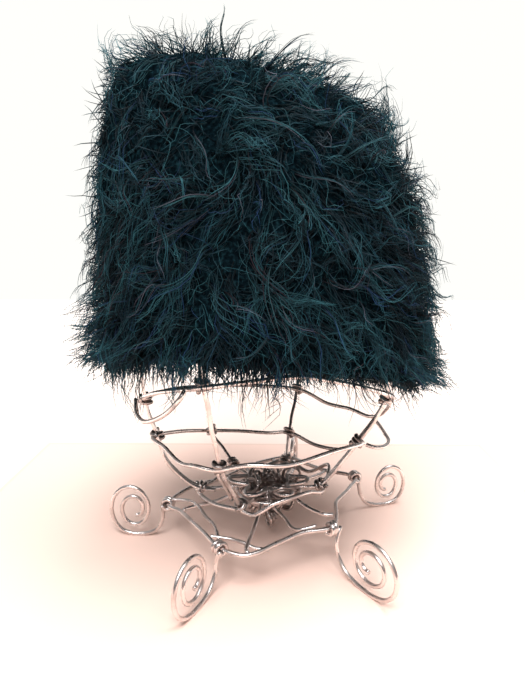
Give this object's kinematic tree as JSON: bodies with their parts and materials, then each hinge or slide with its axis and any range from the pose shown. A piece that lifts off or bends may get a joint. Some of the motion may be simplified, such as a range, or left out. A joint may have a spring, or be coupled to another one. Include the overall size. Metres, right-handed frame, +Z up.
{
  "type": "wool hat on wire stand",
  "caption": "Tall shaggy wool hat with a deep dark teal pile, hollow and open below, held up by a hand-bent silver wire basket stand on upright spiral feet.",
  "frame": {"origin": "centre of the object's box on the surface that it stands on", "axes": "+Z up, -Y towards the front as pictured, +X to the right"},
  "size_m": [0.2414, 0.241, 0.3392],
  "materials": {
    "dark_knit": "matt knitted wool backing",
    "teal_pile": "long soft wavy wool pile with a slight sheen",
    "silver_wire": "bright drawn craft wire, bent by hand"
  },
  "bodies": {
    "root": {"knit_wall": "dark_knit", "fur_pile": "teal_pile", "base_ring": "silver_wire", "ring_lower": "silver_wire", "ring_middle": "silver_wire", "ring_upper": "silver_wire", "top_ring": "silver_wire", "hub_ring": "silver_wire", "hub_coil": "silver_wire", "hub_flower": "silver_wire", "rib_left": "silver_wire", "rib_front_left": "silver_wire", "rib_right": "silver_wire", "rib_back_right": "silver_wire", "rib_back_left": "silver_wire", "foot_left": "silver_wire", "foot_front_left": "silver_wire", "foot_front_right": "silver_wire", "foot_right": "silver_wire", "foot_back": "silver_wire", "spoke_left": "silver_wire", "spoke_front_left": "silver_wire", "spoke_front_right": "silver_wire", "spoke_right": "silver_wire", "spoke_back": "silver_wire", "loop_left": "silver_wire", "loop_right": "silver_wire"}
  },
  "joints": []
}
